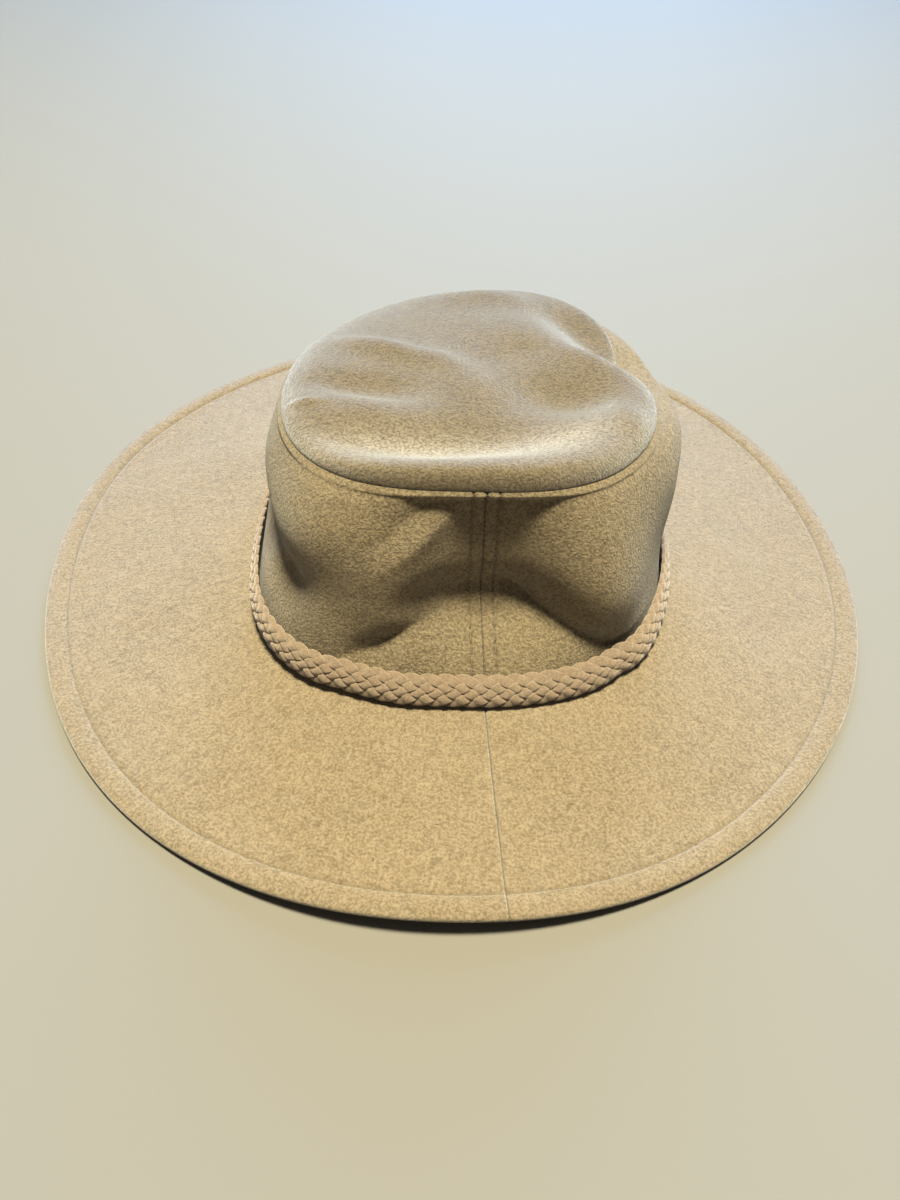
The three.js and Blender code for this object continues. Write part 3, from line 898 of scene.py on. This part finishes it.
def band_inside(angle):
    side_height = tip_seam_height(angle) - crown_base(angle)
    inside = 0.0 * angle
    for up in BAND_TOUCHES:
        height = band_bottom(angle) - crown_base(angle) + up * np.cos(band_lean(angle))
        reach = side_radius(angle, height / side_height) + up * np.sin(band_lean(angle))
        inside = np.maximum(inside, reach)
    return inside + SEWING_GAP + bends(BAND_STANDS_OFF, angle)


def plait_across(turn):
    """Where a strip is across the plait, -1 to 1, in its zigzag."""
    phase = turn % 1.0
    near_top = np.minimum(phase, 1 - phase)
    near_bottom = np.abs(phase - 0.5)
    turned = 2 * np.minimum(near_top, near_bottom) ** 2 / PLAIT_ROUNDING + 2 * PLAIT_ROUNDING
    across = 4 * near_bottom - 1
    across = np.where(near_top < PLAIT_ROUNDING, 1 - turned, across)
    return np.where(near_bottom < PLAIT_ROUNDING, turned - 1, across)


def plait_out(turn):
    """1 where a strip lies over the one that it crosses, -1 where it lies under."""
    phase = turn % 0.5
    crossing = (phase > FLAT_AT_EDGE) & (phase < 0.5 - FLAT_AT_EDGE)
    out = np.where(crossing, np.cos(2 * np.pi * (phase - OVER_AT) / OVERS_APART), 0)
    return np.sign(out) * np.abs(out) ** WEAVE_STEEPNESS


def plait_mesh():
    steps = PLAIT_TURNS * STRIP_STEPS
    fine = np.linspace(0, 360, BAND_SAMPLES, endpoint=False)
    middle = place(fine, band_inside(fine) + BAND_THICK / 2, band_bottom(fine) + BAND_WIDTH / 2)
    steps_round = np.diff(np.vstack([middle, middle[:1]]), axis=0)
    length = np.concatenate([[0], np.cumsum(np.linalg.norm(steps_round, axis=1))])
    fine = np.append(fine, 360.0)
    along = np.arange(steps) / steps
    angle = np.interp(along * length[-1], length, fine)
    inside, bottom = band_inside(angle), band_bottom(angle)
    lean = band_lean(angle)[:, None]
    lean_low = LOWER_EDGE_LEAN * lean
    lean_high = 2 * lean - lean_low
    turn = 2 * np.pi * np.arange(STRIP_SIDES) / STRIP_SIDES
    round_x = np.sign(np.cos(turn)) * np.abs(np.cos(turn)) ** STRIP_SQUARENESS[0]
    round_y = np.sign(np.sin(turn)) * np.abs(np.sin(turn)) ** STRIP_SQUARENESS[1]
    all_points, all_faces = [], []
    for strand in range(STRANDS):
        phase = along * PLAIT_TURNS + strand / STRANDS
        step = length[-1] / steps
        across_mm = BAND_WIDTH / 2 + PLAIT_REACH * plait_across(phase)
        slope = (np.roll(across_mm, -1) - np.roll(across_mm, 1)) / (2 * step)
        tilt = np.arctan(slope)
        side = round_x[None, :] * STRIP_WIDTH / 2
        lift = round_y[None, :] * STRIP_THICK / 2
        # a strip dives along the slanting edge of the one that crosses it
        steepest = np.abs(tilt).max()
        slant = -side * (tilt / steepest)[:, None] / np.tan(2 * steepest)
        strip_length = length[-1] / PLAIT_TURNS / np.cos(steepest)
        out = plait_out(phase[:, None] - slant / strip_length)
        up = across_mm[:, None] + side * np.cos(tilt)[:, None]
        back = -side * np.sin(tilt)[:, None]
        thick = BAND_THICK / 2 + PLAIT_WEAVE * out + lift
        turned = angle[:, None] + np.degrees(back / (inside + BAND_THICK / 2)[:, None])
        # upright at its lower edge, the plait bends over towards its upper edge
        bent = lean_low + (lean_high - lean_low) * up / BAND_WIDTH
        bend = np.maximum(lean_high - lean_low, LEAST_BEND) / BAND_WIDTH
        radius = inside[:, None] + thick * np.cos(bent) - (np.cos(lean_low) - np.cos(bent)) / bend
        height = bottom[:, None] + thick * np.sin(bent) + (np.sin(bent) - np.sin(lean_low)) / bend
        all_points.append(place(turned, radius, height).reshape(-1, 3))
        all_faces.append(ring_faces(steps, STRIP_SIDES, True) + strand * steps * STRIP_SIDES)
    return np.concatenate(all_points), np.concatenate(all_faces)


braid_felt = felt_cloth(
    "braid_felt",
    deep=(0.205, 0.143, 0.09),
    tan=(0.31, 0.23, 0.158),
    pale=(0.39, 0.32, 0.25),
    nap=0.3,
    fuzz=0.4,
)

points, faces = plait_mesh()
hat_band = cloth_object("plaited_band", points, [faces], braid_felt)
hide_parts("hat_band")
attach(hat_band, "root")
